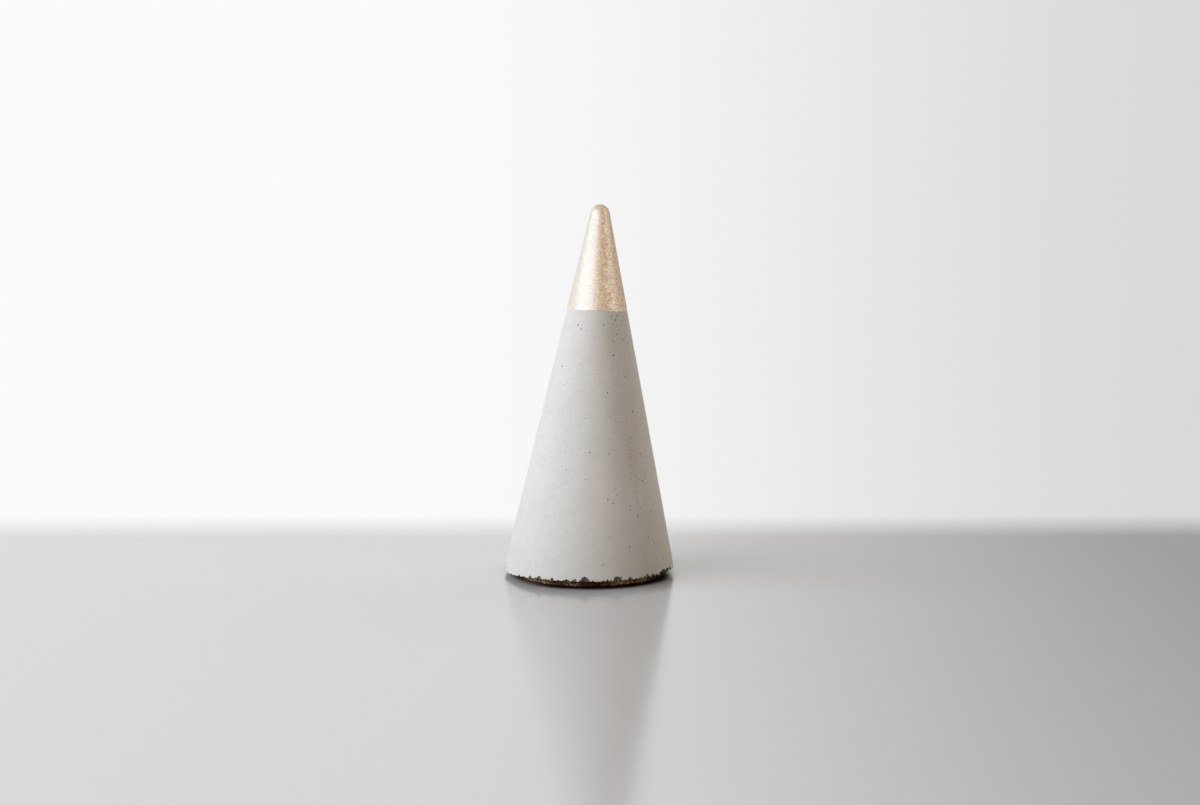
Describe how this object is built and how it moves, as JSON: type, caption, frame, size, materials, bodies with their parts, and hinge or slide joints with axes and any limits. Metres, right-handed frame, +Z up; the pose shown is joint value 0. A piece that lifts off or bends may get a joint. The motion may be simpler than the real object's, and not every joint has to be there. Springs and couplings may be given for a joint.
{
  "type": "ring display stand",
  "caption": "Slim ring cone cast in concrete, with a rounded, gilded tip, a chipped lower rim and a thin cork disc glued underneath; finger rings are dropped over the tip.",
  "frame": {"origin": "on the table, under the middle of the concrete's lower rim", "axes": "+Z up; the front faces -Y; the casting leans 1.7 degrees towards +X"},
  "size_m": [0.042, 0.042, 0.091],
  "materials": {
    "concrete": "matte",
    "gold_paint": "satin",
    "cork": "matte"
  },
  "bodies": {
    "root": {"concrete_cone": "concrete", "gilded_tip": "gold_paint", "cork_pad": "cork"}
  },
  "joints": []
}
